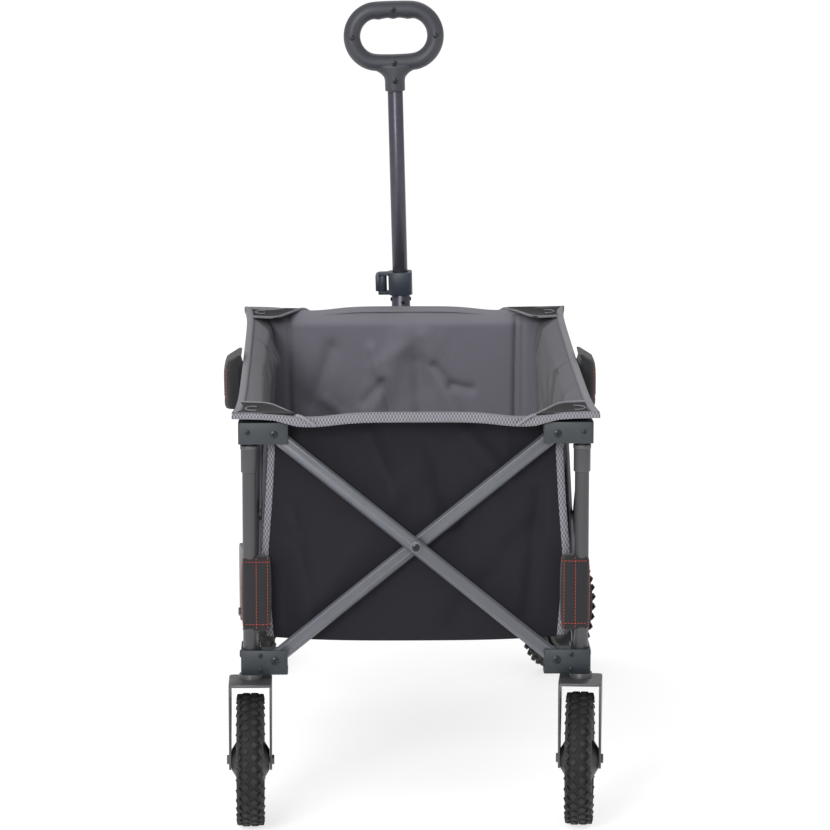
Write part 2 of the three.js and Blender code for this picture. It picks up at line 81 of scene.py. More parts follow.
def card(r, g, b):
    """A colour in 0 to 255 steps, as Blender's linear values."""
    steps = [c / 255 for c in (r, g, b)]
    return tuple(c / 12.92 if c <= 0.04045 else ((c + 0.055) / 1.055) ** 2.4 for c in steps) + (1,)


bpy.ops.object.select_all(action="DESELECT")
bpy.ops.mesh.primitive_plane_add(size=70, location=(0, 0, 0))
floor = bpy.context.object
floor.name = "floor"
floor_paint = bpy.data.materials.new("floor paint")
floor_paint.use_nodes = True
floor_paint.node_tree.nodes["Principled BSDF"].inputs["Base Color"].default_value = (0.5, 0.5, 0.5, 1)
floor_paint.node_tree.nodes["Principled BSDF"].inputs["Roughness"].default_value = 0.9
floor_paint.node_tree.nodes["Principled BSDF"].inputs["Emission Color"].default_value = (1, 1, 1, 1)
floor_paint.node_tree.nodes["Principled BSDF"].inputs["Emission Strength"].default_value = 0.7
floor.data.materials.append(floor_paint)

room = bpy.data.worlds.new("white room")
room.use_nodes = True
room.node_tree.nodes["Background"].inputs["Color"].default_value = (1, 1, 1, 1)
room.node_tree.nodes["Background"].inputs["Strength"].default_value = 0.62
bpy.context.scene.world = room
for name, place, size, watts in (
    ("front lamp", (-1.7, -4.6, 2.3), 1.5, 118),
    ("soft lamp", (-1.4, -2.2, 3.6), 2.6, 34),
    ("back lamp", (0.6, 2.8, 3.2), 2.0, 14),
):
    bpy.ops.object.light_add(type="AREA", location=spot(*place))
    lamp = bpy.context.object
    lamp.name = name
    lamp.data.size = size
    lamp.data.energy = watts
    lamp.rotation_euler = (spot(0, 0, 0.4) - spot(*place)).to_track_quat("-Z", "Y").to_euler()

# ---- Corner posts ----
# Each corner is a 19 mm round steel post, powder coated dark grey, pressed into the lower
# bracket; a slimmer tube from the upper bracket slides in it when the frame folds.


def new_group(name, inputs, outputs):
    """An empty shader node group with plain number inputs and outputs."""
    group = bpy.data.node_groups.new(name, "ShaderNodeTree")
    for label, value in inputs:
        socket = group.interface.new_socket(name=label, in_out="INPUT", socket_type="NodeSocketFloat")
        socket.default_value = value
    for label in outputs:
        group.interface.new_socket(name=label, in_out="OUTPUT", socket_type="NodeSocketFloat")
    return group, group.nodes.new("NodeGroupInput"), group.nodes.new("NodeGroupOutput")


# Fine grain of a coat or a moulding, with wide uneven patches.
grain, grain_in, grain_out = new_group("fine grain", [("Scale", 900), ("Patches", 16)], ["Height", "Patch"])
where = grain.nodes.new("ShaderNodeTexCoord")
for scale, out, detail in (("Scale", "Height", 2), ("Patches", "Patch", 6)):
    noise = grain.nodes.new("ShaderNodeTexNoise")
    noise.inputs["Detail"].default_value = detail
    grain.links.new(where.outputs["Object"], noise.inputs["Vector"])
    grain.links.new(grain_in.outputs[scale], noise.inputs["Scale"])
    grain.links.new(noise.outputs["Fac"], grain_out.inputs[out])

# Worn edges: where the surface turns sharply, broken up by noise.
wear, wear_in, wear_out = new_group("edge wear", [("Reach", 0.56)], ["Mask"])
turns = wear.nodes.new("ShaderNodeNewGeometry")
ramp = wear.nodes.new("ShaderNodeMapRange")
ramp.inputs["From Min"].default_value = 0.51
wear.links.new(turns.outputs["Pointiness"], ramp.inputs["Value"])
wear.links.new(wear_in.outputs["Reach"], ramp.inputs["From Max"])
where = wear.nodes.new("ShaderNodeTexCoord")
noise = wear.nodes.new("ShaderNodeTexNoise")
noise.inputs["Scale"].default_value = 90
wear.links.new(where.outputs["Object"], noise.inputs["Vector"])
broken = wear.nodes.new("ShaderNodeMath")
broken.operation = "MULTIPLY"
wear.links.new(ramp.outputs["Result"], broken.inputs[0])
wear.links.new(noise.outputs["Fac"], broken.inputs[1])
wear.links.new(broken.outputs["Value"], wear_out.inputs["Mask"])


def colour_mix(tree, a, b, factor):
    """A mix of two colours by a factor's output."""
    mix = tree.nodes.new("ShaderNodeMix")
    mix.data_type = "RGBA"
    tree.links.new(factor, mix.inputs[0])
    for socket, value in ((mix.inputs[6], a), (mix.inputs[7], b)):
        if isinstance(value, tuple):
            socket.default_value = value
        else:
            tree.links.new(value, socket)
    return mix.outputs[2]


def scaled(colour, by):
    return tuple(min(1.0, c * by) for c in colour[:3]) + (1,)


def add_roughness_and_relief(tree, patch, rough_low, rough_high, height, strength, distance):
    """Uneven roughness and fine relief on a material's main shader."""
    skin = tree.nodes["Principled BSDF"]
    rougher = tree.nodes.new("ShaderNodeMapRange")
    rougher.inputs["To Min"].default_value = rough_low
    rougher.inputs["To Max"].default_value = rough_high
    tree.links.new(patch, rougher.inputs["Value"])
    tree.links.new(rougher.outputs["Result"], skin.inputs["Roughness"])
    relief = tree.nodes.new("ShaderNodeBump")
    relief.inputs["Strength"].default_value = strength
    relief.inputs["Distance"].default_value = distance
    tree.links.new(height, relief.inputs["Height"])
    tree.links.new(relief.outputs["Normal"], skin.inputs["Normal"])


def hard_finish(
    name, colour, rough, metal=0.0, grain_scale=900, bump=0.12, uneven=0.14, worn=1.7, gloss=0.5
):
    """Painted metal or moulded plastic: fine grain, uneven tone and roughness, paler edges."""
    material = bpy.data.materials.new(name)
    material.use_nodes = True
    tree = material.node_tree
    skin = tree.nodes["Principled BSDF"]
    skin.inputs["Metallic"].default_value = metal
    skin.inputs["Specular IOR Level"].default_value = gloss
    grained = tree.nodes.new("ShaderNodeGroup")
    grained.node_tree = grain
    grained.inputs["Scale"].default_value = grain_scale
    edges = tree.nodes.new("ShaderNodeGroup")
    edges.node_tree = wear
    patch, height = grained.outputs["Patch"], grained.outputs["Height"]
    patchy = colour_mix(tree, scaled(colour, 1 - uneven), scaled(colour, 1 + uneven), patch)
    coat = colour_mix(tree, patchy, scaled(colour, worn), edges.outputs["Mask"])
    tree.links.new(coat, skin.inputs["Base Color"])
    add_roughness_and_relief(tree, patch, max(0.05, rough - 0.1), min(1, rough + 0.1), height, bump, 0.0004)
    return material


def dress(node, material, edge=0.0007):
    """Gives a CAD node its finish, and softens its edges with live modifiers."""
    part = frame["nodes"][node]
    part.data.materials.clear()
    part.data.materials.append(material)
    for face in part.data.polygons:
        face.use_smooth = True
        face.material_index = 0
    weld = part.modifiers.new("weld", "WELD")
    weld.merge_threshold = 0.00002
    soft = part.modifiers.new("soft edges", "BEVEL")
    soft.width = edge
    soft.segments = 2
    soft.limit_method = "ANGLE"
    soft.angle_limit = math.radians(38)
    soft.harden_normals = True
    soft.use_clamp_overlap = True


CORNERS = (("rear_left", -1, -1), ("rear_right", 1, -1), ("front_left", -1, 1), ("front_right", 1, 1))
post_coat = hard_finish("dark powder coat", card(68, 68, 70), 0.42, 0.25, 1400, 0.1)
for corner, sx, sy in CORNERS:
    dress(corner + "_post", post_coat, 0.0005)

# ---- Scissor arms ----
# Flat-sided oval steel tubes, powder coated a lighter satin grey, crossed in pairs on a
# middle rivet and pinned at their ends in the brackets.
arm_coat = hard_finish("satin grey coat", card(90, 92, 98), 0.36, 0.3, 1600, 0.08, 0.1, 1.6)
for arm in [n for n in frame["nodes"] if "_arm_" in n]:
    dress(arm, arm_coat, 0.0009)

# ---- Corner and middle brackets ----
# Moulded glass-filled nylon channels, blue-grey; the lower ones are a shade darker.
upper_plastic = hard_finish("grey nylon", card(38, 43, 47), 0.5, 0, 700, 0.25)
lower_plastic = hard_finish("dark grey nylon", card(31, 37, 42), 0.5, 0, 700, 0.25)
for corner, sx, sy in CORNERS:
    dress(corner + "_head", upper_plastic, 0.0012)
    dress(corner + "_foot", lower_plastic, 0.0012)
for side in ("left", "right"):
    dress(side + "_mid_head", upper_plastic, 0.0012)
    dress(side + "_mid_foot", lower_plastic, 0.0012)

# ---- Rivets and screws of the brackets ----
# Domed steel rivets with a dished middle close the pivots, and small pan-head screws hold the
# lower brackets; all are black-finished steel, pressed or driven in from outside.


def put_away(piece, name):
    """Names a piece and bakes its place into its mesh."""
    bpy.ops.object.select_all(action="DESELECT")
    piece.select_set(True)
    bpy.context.view_layer.objects.active = piece
    bpy.ops.object.transform_apply(location=True, rotation=True, scale=True)
    piece.name = name
    piece.data.name = name
    return piece


def copied(piece, turn, place):
    """A copy with its own mesh, turned and then moved to a place."""
    twin = piece.copy()
    twin.data = piece.data.copy()
    bpy.context.scene.collection.objects.link(twin)
    twin.data.transform(Matrix.Translation(place) @ turn)
    return twin


def joined(pieces, name):
    """Several pieces as one mesh."""
    bpy.ops.object.select_all(action="DESELECT")
    for piece in pieces:
        piece.select_set(True)
    bpy.context.view_layer.objects.active = pieces[0]
    if len(pieces) > 1:
        bpy.ops.object.join()
    whole = bpy.context.object
    whole.name = name
    whole.data.name = name
    return whole


def smooth(piece, degrees=35):
    bpy.ops.object.select_all(action="DESELECT")
    piece.select_set(True)
    bpy.context.view_layer.objects.active = piece
    bpy.ops.object.shade_smooth_by_angle(angle=math.radians(degrees))


def rivet_head(radius, height, dish):
    """A round head that points up, with a dish or a driver socket in its middle."""
    bpy.ops.object.select_all(action="DESELECT")
    bpy.ops.mesh.primitive_cylinder_add(vertices=18, radius=radius, depth=height, location=(0, 0, height / 2))
    head = bpy.context.object
    bpy.ops.object.mode_set(mode="EDIT")
    bpy.ops.mesh.select_all(action="DESELECT")
    bpy.ops.object.mode_set(mode="OBJECT")
    for face in head.data.polygons:
        face.select = face.normal.z > 0.9
    bpy.ops.object.mode_set(mode="EDIT")
    bpy.ops.mesh.inset(thickness=radius * 0.3)
    bpy.ops.transform.translate(value=(0, 0, height * 0.45))
    bpy.ops.mesh.inset(thickness=radius * 0.28)
    bpy.ops.mesh.inset(thickness=radius * 0.05)
    bpy.ops.transform.translate(value=(0, 0, -dish))
    bpy.ops.object.mode_set(mode="OBJECT")
    put_away(head, "head")
    smooth(head)
    return head


rivet_steel = hard_finish("black rivet steel", card(38, 40, 43), 0.3, 0.7, 1200, 0.05, 0.1, 2.2)
big_rivet = rivet_head(0.0052, 0.0018, 0.0012)
small_screw = rivet_head(0.003, 0.0014, 0.0012)
for head in (big_rivet, small_screw):
    head.data.materials.append(rivet_steel)
PIVOT_X, PIVOT_Y = 0.187, 0.404
OUT_X, OUT_Y = 0.2325, 0.4495
LOW_PIVOT, HIGH_PIVOT = 0.219, 0.524


def facing(axis, sign):
    """A turn that takes +Z to an outward direction."""
    return Vector((sign, 0, 0) if axis == "x" else (0, sign, 0)).to_track_quat("Z", "Y").to_matrix().to_4x4()


for corner, sx, sy in CORNERS:
    top = [
        copied(big_rivet, facing("y", sy), spot(sx * PIVOT_X, sy * (OUT_Y + 0.0001), HIGH_PIVOT)),
        copied(big_rivet, facing("x", sx), spot(sx * (OUT_X + 0.0001), sy * PIVOT_Y, HIGH_PIVOT)),
        copied(small_screw, facing("y", sy), spot(sx * 0.222, sy * (OUT_Y + 0.0019), 0.527)),
    ]
    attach(joined(top, corner + "_top_rivets"), corner + "_top")
    low = [
        copied(big_rivet, facing("y", sy), spot(sx * PIVOT_X, sy * OUT_Y, LOW_PIVOT)),
        copied(big_rivet, facing("x", sx), spot(sx * OUT_X, sy * PIVOT_Y, LOW_PIVOT)),
        copied(small_screw, facing("y", sy), spot(sx * 0.2065, sy * OUT_Y, 0.2265)),
        copied(small_screw, facing("y", sy), spot(sx * 0.2065, sy * OUT_Y, 0.2065)),
    ]
    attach(joined(low, corner + "_foot_rivets"), corner + "_leg")
for side, sx in (("left", -1), ("right", 1)):
    for level, z in (("lower", LOW_PIVOT), ("upper", HIGH_PIVOT)):
        pair = [copied(big_rivet, facing("x", sx), spot(sx * OUT_X, y, z)) for y in (-0.03, 0.03)]
        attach(joined(pair, f"{side}_mid_{level}_rivets"), f"{side}_mid_{level}")
crossings = [(end, "y", sy, ("a", "b"), "") for end, sy in (("rear", -1), ("front", 1))]
for side, sx in (("left", -1), ("right", 1)):
    crossings += [(side, "x", sx, (row + "a", row + "b"), row) for row in ("1", "2")]
for place, axis, sign, arms, row in crossings:
    reach = {}
    for arm in arms:
        reach[arm] = max(sign * end["xy".index(axis)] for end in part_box(f"{place}_arm_{arm}"))
    outer = max(reach, key=reach.get)
    low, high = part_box(f"{place}_arm_{outer}")
    middle = (low + high) / 2
    middle["xy".index(axis)] = sign * (reach[outer] - 0.0004)
    rivet = copied(big_rivet, facing(axis, sign), middle)
    rivet.name = f"{place}_crossing_rivet{row}"
    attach(rivet, f"{place}_scissor_{outer}")
bpy.data.objects.remove(big_rivet)

# ---- Swivel forks and hubs ----
# Pressed steel forks in dark coat turn under the lower brackets; each wheel has a black
# moulded hub on a plain axle between the fork's legs.
fork_coat = hard_finish("fork coat", card(74, 74, 76), 0.4, 0.3, 1300, 0.1, 0.12, 2.0)
hub_plastic = hard_finish("black hub plastic", card(22, 22, 24), 0.5, 0, 800, 0.2)
for corner, sx, sy in CORNERS:
    dress(corner + "_fork", fork_coat, 0.0008)
    dress(corner + "_hub", hub_plastic, 0.0008)

# ---- Tyres ----
# Solid black rubber tyres, 178 mm across, with diamond blocks in rows round the tread and
# lugs on the shoulders; each is pressed over its hub.
bpy.ops.object.select_all(action="DESELECT")
bpy.ops.mesh.primitive_torus_add(
    major_segments=72, minor_segments=20, major_radius=0.0729, minor_radius=0.0138, location=(0, 0, 0)
)
tyre = bpy.context.object
bpy.ops.object.mode_set(mode="EDIT")
bpy.ops.mesh.select_all(action="SELECT")
bpy.ops.transform.resize(value=(1, 1, 1.28))
bpy.ops.object.mode_set(mode="OBJECT")
for v in tyre.data.vertices:  # square the shoulders a little, as a tread is flatter than a ring
    r = math.hypot(v.co.x, v.co.y)
    push = max(0, (r - 0.078) / 0.0087) * (abs(v.co.z) / 0.0177) ** 1.5 * 0.004
    v.co.x *= (r + push) / r
    v.co.y *= (r + push) / r


def tread_block(across, around, out, z):
    """One diamond block of the tread, on the +X side, in the ring's own plane."""
    bpy.ops.object.select_all(action="DESELECT")
    bpy.ops.mesh.primitive_cylinder_add(vertices=4, radius=1, depth=1, location=(0, 0, 0))
    block = bpy.context.object
    bpy.ops.object.mode_set(mode="EDIT")
    bpy.ops.mesh.select_all(action="DESELECT")
    bpy.ops.object.mode_set(mode="OBJECT")
    for face in block.data.polygons:
        face.select = face.normal.z > 0.9
    bpy.ops.object.mode_set(mode="EDIT")
    bpy.ops.transform.resize(value=(0.78, 0.78, 1))
    bpy.ops.mesh.inset(thickness=0.12)
    bpy.ops.transform.translate(value=(0, 0, 0.12))
    bpy.ops.object.mode_set(mode="OBJECT")
    block.data.transform(Matrix.Diagonal((across, around, 0.0055, 1)))
    block.data.transform(Matrix.Rotation(math.pi / 2, 4, "Y"))
    block.data.transform(Matrix.Translation((out, 0, z)))
    return block


rows = []
for count, across, around, out, z, half_turn in (
    (34, 0.0066, 0.0072, 0.0851, 0.0056, 0),
    (34, 0.0066, 0.0072, 0.0851, -0.0056, 1),
    (34, 0.0050, 0.0066, 0.0838, 0.0138, 1),
    (34, 0.0050, 0.0066, 0.0838, -0.0138, 0),
):
    block = tread_block(across, around, out, z)
    for i in range(count):
        turn = Matrix.Rotation(2 * math.pi * (i + half_turn / 2) / count, 4, "Z")
        rows.append(copied(block, turn, Vector((0, 0, 0))))
    bpy.data.objects.remove(block)
tyre = joined([tyre] + rows, "tyre")
smooth(tyre, 32)
tyre.data.transform(Matrix.Rotation(math.pi / 2, 4, "Y"))
rubber = hard_finish("black rubber", card(24, 24, 25), 0.62, 0, 500, 0.4, 0.22, 3.4, 0.28)
tyre.data.materials.append(rubber)
turned = {j["name"]: j["axis"] for j in frame["joints"]}
for corner, sx, sy in CORNERS:
    low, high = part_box(corner + "_tyre")
    axle = Vector(turned[corner + "_roll"])
    turn = Matrix.Rotation(math.atan2(axle.y, axle.x), 4, "Z")
    wheel = copied(tyre, turn, (low + high) / 2)
    wheel.name = corner + "_treaded_tyre"
    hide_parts(corner + "_tyre")
    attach(wheel, corner + "_wheel")
bpy.data.objects.remove(tyre)

# ---- Bag walls ----
# One sewn bag of coated polyester cloth, dark outside and paler inside. It hangs from the
# upper brackets, is tied to the posts by its sleeves, and is cut into panels at its seams.

# Woven threads in the cloth's own directions, with slow uneven patches.
weave, weave_in, weave_out = new_group("weave", [("Pitch", 0.0012)], ["Height", "Patch"])


def add_crossed_waves(tree, tree_in, tree_out, across, along):
    """Height from two waves over the threads map; across and along are half waves in a pitch."""
    lay = tree.nodes.new("ShaderNodeUVMap")
    lay.uv_map = "threads"
    parts = tree.nodes.new("ShaderNodeSeparateXYZ")
    tree.links.new(lay.outputs["UV"], parts.inputs["Vector"])
    crossed = tree.nodes.new("ShaderNodeMath")
    crossed.operation = "MULTIPLY"
    for slot, (axis, half_waves) in enumerate((("X", across), ("Y", along))):
        count = tree.nodes.new("ShaderNodeMath")
        count.operation = "DIVIDE"
        tree.links.new(parts.outputs[axis], count.inputs[0])
        tree.links.new(tree_in.outputs["Pitch"], count.inputs[1])
        angle = tree.nodes.new("ShaderNodeMath")
        angle.operation = "MULTIPLY"
        angle.inputs[1].default_value = math.pi * half_waves
        tree.links.new(count.outputs["Value"], angle.inputs[0])
        wave = tree.nodes.new("ShaderNodeMath")
        wave.operation = "SINE"
        tree.links.new(angle.outputs["Value"], wave.inputs[0])
        tree.links.new(wave.outputs["Value"], crossed.inputs[slot])
    tree.links.new(crossed.outputs["Value"], tree_out.inputs["Height"])


def add_blotches(tree, tree_out, scale, detail=2.0, roughness=0.5):
    """Slow uneven patches over a piece."""
    where = tree.nodes.new("ShaderNodeTexCoord")
    blotch = tree.nodes.new("ShaderNodeTexNoise")
    blotch.inputs["Scale"].default_value = scale
    blotch.inputs["Detail"].default_value = detail
    blotch.inputs["Roughness"].default_value = roughness
    tree.links.new(where.outputs["Object"], blotch.inputs["Vector"])
    tree.links.new(blotch.outputs["Fac"], tree_out.inputs["Patch"])


add_crossed_waves(weave, weave_in, weave_out, 1, 1)
add_blotches(weave, weave_out, 60, 8, 0.7)


def cloth_finish(name, colour, pitch=0.0012, bump=0.35, uneven=0.2, rough=0.9, sheen=0.15):
    """Woven cloth with a soft sheen, and a painted highlight that makes its raised threads paler."""
    material = bpy.data.materials.new(name)
    material.use_nodes = True
    tree = material.node_tree
    skin = tree.nodes["Principled BSDF"]
    skin.inputs["Sheen Weight"].default_value = sheen
    skin.inputs["Specular IOR Level"].default_value = 0.25
    woven = tree.nodes.new("ShaderNodeGroup")
    woven.node_tree = weave
    woven.inputs["Pitch"].default_value = pitch
    tone = colour_mix(tree, scaled(colour, 1 - uneven), scaled(colour, 1 + uneven), woven.outputs["Patch"])
    # Painted highlight: where the weave stands up, the colour is mixed up to 0.35 of the way towards 1.3
    # times itself.
    threads = tree.nodes.new("ShaderNodeMapRange")
    threads.inputs["From Min"].default_value = -1
    threads.inputs["To Max"].default_value = 0.35
    tree.links.new(woven.outputs["Height"], threads.inputs["Value"])
    cloth = colour_mix(tree, tone, scaled(colour, 1.3), threads.outputs["Result"])
    tree.links.new(cloth, skin.inputs["Base Color"])
    patch, height = woven.outputs["Patch"], woven.outputs["Height"]
    add_roughness_and_relief(tree, patch, rough - 0.12, min(1, rough + 0.08), height, bump, 0.0003)
    return material


def lay_threads(piece):
    """A UV map in metres along the two directions that each face lies in."""
    mesh = piece.data
    layer = mesh.uv_layers.get("threads") or mesh.uv_layers.new(name="threads")
    for face in mesh.polygons:
        n = [abs(c) for c in face.normal]
        a, b = ((1, 2), (0, 2), (0, 1))[n.index(max(n))]
        for i in face.loop_indices:
            co = mesh.vertices[mesh.loops[i].vertex_index].co
            layer.data[i].uv = (co[a], co[b])


def cloth_grid(name, across, up, point, thick, outside, inside=None):
    """A sheet: a grid whose points are laid by point(u, v), then given a thickness."""
    bpy.ops.object.select_all(action="DESELECT")
    bpy.ops.mesh.primitive_grid_add(x_subdivisions=across, y_subdivisions=up, size=1, location=(0, 0, 0))
    piece = bpy.context.object
    for v in piece.data.vertices:
        v.co = point(v.co.x + 0.5, v.co.y + 0.5)
    piece.data.update()
    piece.data.materials.append(outside)
    piece.data.materials.append(inside or outside)
    body = piece.modifiers.new("thickness", "SOLIDIFY")
    body.thickness = thick
    body.offset = -1
    body.material_offset = 1
    bpy.ops.object.modifier_apply(modifier="thickness")
    for face in piece.data.polygons:
        face.use_smooth = True
    piece.name = name
    piece.data.name = name
    lay_threads(piece)
    return piece


def crease(a, z, lines):
    """How far folds push the cloth out at a point; each line has two ends, a width and a depth."""
    out = 0.0
    for a0, z0, a1, z1, width, depth in lines:
        da, dz = a1 - a0, z1 - z0
        t = ((a - a0) * da + (z - z0) * dz) / (da * da + dz * dz)
        miss = math.hypot(a - a0 - da * min(1, max(0, t)), z - z0 - dz * min(1, max(0, t)))
        out += depth * math.exp(-((miss / width) ** 2))
    return out


FLOOR_Z, TURN_Z = 0.2445, 0.5365
RIM_OUT = 0.0375
chance = random.Random(7)


def loose_folds(half, count, depth):
    """Shallow folds that lie anywhere on a panel, most of them leaning."""
    lines = []
    for _ in range(count):
        a, z = chance.uniform(-half, half), chance.uniform(0.26, 0.5)
        lean, long = chance.uniform(-1.1, 1.1), chance.uniform(0.05, 0.14)
        width = chance.uniform(0.007, 0.02)
        end = (a + long * math.sin(lean), z + long * math.cos(lean))
        lines.append((a, z, *end, width, chance.uniform(-depth, depth)))
    return lines


def bag_half_width(z):
    heights = (FLOOR_Z, 0.30, 0.36, 0.43, 0.50, TURN_Z)
    return float(np.interp(z, heights, (0.199, 0.2035, 0.2055, 0.2, 0.196, 0.2035)))


def bag_half_length(z):
    return float(np.interp(z, (FLOOR_Z, 0.36, TURN_Z), (0.414, 0.4175, 0.4165)))


def lift(y):
    """The rim rises a little towards the handle."""
    return 0.009 * max(0.0, y / 0.45)


def rim_dip(a, half):
    """The rim sags beside the corner pockets and stands up at the corners."""
    return -0.006 * math.exp(-(((abs(a) - half + 0.105) / 0.045) ** 2))


def bag_wall(end, sign, lines):
    """The point function of one wall; end walls run along X and side walls along Y."""

    def point(u, v):
        s = 2 * u - 1
        turn = max(0.0, (v - 0.86) / 0.14)
        z = FLOOR_Z + (TURN_Z - FLOOR_Z) * min(1, v / 0.86)
        wide, long = bag_half_width(z), bag_half_length(z)
        flare = RIM_OUT * turn
        middle = 1 - s * s
        z_rim = z + 0.0145 * math.sin(turn * math.pi / 2)
        body = math.sin(math.pi * min(1, v / 0.86))
        if end:
            a = s * (wide + flare)
            z_rim -= 0.0065 * (1 - abs(s) ** 3) * max(0.0, 1 - 4 * v)
            puff = crease(a, z, lines) * min(1, 6 * (1 - abs(s))) * min(1, 12 * v)
            out = long + flare + 0.0045 * middle * body + puff * (1 - turn)
            z_rim += rim_dip(a, 0.245) * turn + lift(sign * out) * v**3
            return spot(a, sign * out, z_rim)
        a = s * (long + flare)
        puff = crease(a, z, lines) * min(1, 9 * (1 - abs(s))) * min(1, 12 * v)
        out = wide + flare - 0.0065 * turn * (1 - s**8) + (0.0025 * middle * body + puff) * (1 - turn)
        out += 0.004 * middle * (1 - turn) * (1 if z > 0.45 else 0.3)
        return spot(sign * min(out, 0.2085 + flare), a, z_rim + lift(a) * v**3)

    return point


outer_cloth = cloth_finish("dark outer cloth", card(29, 28, 34), 0.0013, 0.3, 0.16, 0.9, 0.06)
inner_cloth = cloth_finish("grey inner cloth", card(116, 115, 124), 0.0013, 0.3, 0.1)
# The ends and the sides are lined in one grey cloth; the sides' copy is darker, painted shade for the light
# that only grazes them.
side_lining_with_painted_shade = cloth_finish("grey inner cloth of the sides, darker as painted shade", card(84, 83, 90), 0.0013, 0.3, 0.1)
walls = {
    "rear": (
        True,
        -1,
        [
            (-0.13, 0.30, 0.02, 0.50, 0.018, 0.008),
            (0.05, 0.27, 0.16, 0.40, 0.016, -0.0075),
            (-0.165, 0.42, -0.14, 0.27, 0.010, 0.006),
            (-0.180, 0.34, -0.16, 0.26, 0.008, -0.005),
            (0.165, 0.44, 0.15, 0.28, 0.010, -0.006),
            (-0.06, 0.52, -0.03, 0.44, 0.010, 0.006),
            (0.02, 0.50, 0.05, 0.40, 0.012, -0.006),
            (0.07, 0.52, 0.12, 0.46, 0.010, 0.006),
        ],
    ),
    "front": (
        True,
        1,
        [
            (-0.176, 0.54, -0.172, 0.28, 0.0042, 0.0075),
            (0.168, 0.54, 0.165, 0.28, 0.0042, 0.0075),
            (0.178, 0.54, 0.176, 0.30, 0.0042, 0.006),
            (-0.10, 0.30, 0.0, 0.52, 0.018, -0.007),
            (-0.14, 0.42, -0.11, 0.50, 0.012, 0.006),
            (0.03, 0.52, 0.10, 0.34, 0.014, -0.007),
            (-0.02, 0.54, 0.02, 0.44, 0.02, 0.002),
            (0.045, 0.475, 0.07, 0.445, 0.007, 0.007),
            (0.07, 0.445, 0.10, 0.44, 0.007, 0.006),
            (-0.05, 0.50, -0.035, 0.45, 0.008, -0.005),
            (-0.035, 0.45, -0.06, 0.42, 0.008, 0.006),
            (-0.035, 0.45, -0.02, 0.40, 0.007, 0.006),
            (0.02, 0.48, 0.025, 0.38, 0.012, 0.006),
        ],
    ),
    "left": (
        False,
        -1,
        [
            (0.2, 0.54, 0.36, 0.36, 0.012, 0.003),
            (-0.1, 0.5, 0.1, 0.33, 0.02, 0.003),
            (0.3, 0.5, 0.4, 0.46, 0.01, -0.003),
        ],
    ),
    "right": (
        False,
        1,
        [
            (0.36, 0.54, 0.39, 0.36, 0.012, 0.003),
            (-0.2, 0.36, 0.1, 0.5, 0.02, 0.003),
            (0.2, 0.45, 0.33, 0.5, 0.012, -0.003),
        ],
    ),
}
carried_by = {
    "rear": "rear_left_top",
    "left": "rear_left_top",
    "right": "rear_right_top",
    "front": "front_left_top",
}


def folds_up(piece, name):
    """Cloth of one wall rides on the corner body that carries it as the frame folds, with a mesh of its own.
    """
    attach(piece, carried_by[name])
    if name in ("rear", "front"):
        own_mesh(piece)
    else:
        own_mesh(piece)


for name, (end, sign, lines) in walls.items():
    half = 0.18 if end else 0.38
    lines = lines + loose_folds(half, 14 if end else 18, 0.0045)
    point = bag_wall(end, sign, lines)
    flip = sign > 0 if end else sign < 0
    facing_out = (lambda u, v, p=point: p(1 - u, v)) if flip else point
    # The sides take the darker copy of the lining, which is painted shade.
    lining = inner_cloth if end else side_lining_with_painted_shade
    panel = cloth_grid(name + "_panel", 150 if end else 170, 84, facing_out, 0.0016, outer_cloth, lining)
    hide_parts("bag_" + name)
    folds_up(panel, name)

# ---- Rim binding ----
# A ribbed grosgrain tape, light grey, folded over the rim all round and sewn through; near the
# corners it narrows where the pockets go under it.
ribs, ribs_in, ribs_out = new_group("ribbed tape", [("Pitch", 0.0022)], ["Height", "Patch"])
add_crossed_waves(ribs, ribs_in, ribs_out, 2, 1)
add_blotches(ribs, ribs_out, 45)


def tape_finish(name, colour, pitch=0.0022):
    """Ribbed tape: raised ribs, with painted shade darkening the hollows between them."""
    material = bpy.data.materials.new(name)
    material.use_nodes = True
    tree = material.node_tree
    skin = tree.nodes["Principled BSDF"]
    skin.inputs["Sheen Weight"].default_value = 0.1
    skin.inputs["Specular IOR Level"].default_value = 0.3
    ribbed = tree.nodes.new("ShaderNodeGroup")
    ribbed.node_tree = ribs
    ribbed.inputs["Pitch"].default_value = pitch
    groove_shade = tree.nodes.new("ShaderNodeMapRange")
    groove_shade.inputs["From Min"].default_value = -0.8
    groove_shade.inputs["From Max"].default_value = 0.8
    tree.links.new(ribbed.outputs["Height"], groove_shade.inputs["Value"])
    tone = colour_mix(tree, scaled(colour, 0.85), scaled(colour, 1.15), ribbed.outputs["Patch"])
    # Painted shade: the hollows between the ribs are darkened towards 0.3 of the tape's colour.
    tape_with_groove_shade = colour_mix(tree, scaled(colour, 0.3), tone, groove_shade.outputs["Result"])
    tree.links.new(tape_with_groove_shade, skin.inputs["Base Color"])
    add_roughness_and_relief(tree, ribbed.outputs["Patch"], 0.7, 0.9, ribbed.outputs["Height"], 0.6, 0.0005)
    return material


tape = tape_finish("light ribbed tape", card(148, 147, 155), 0.0042)


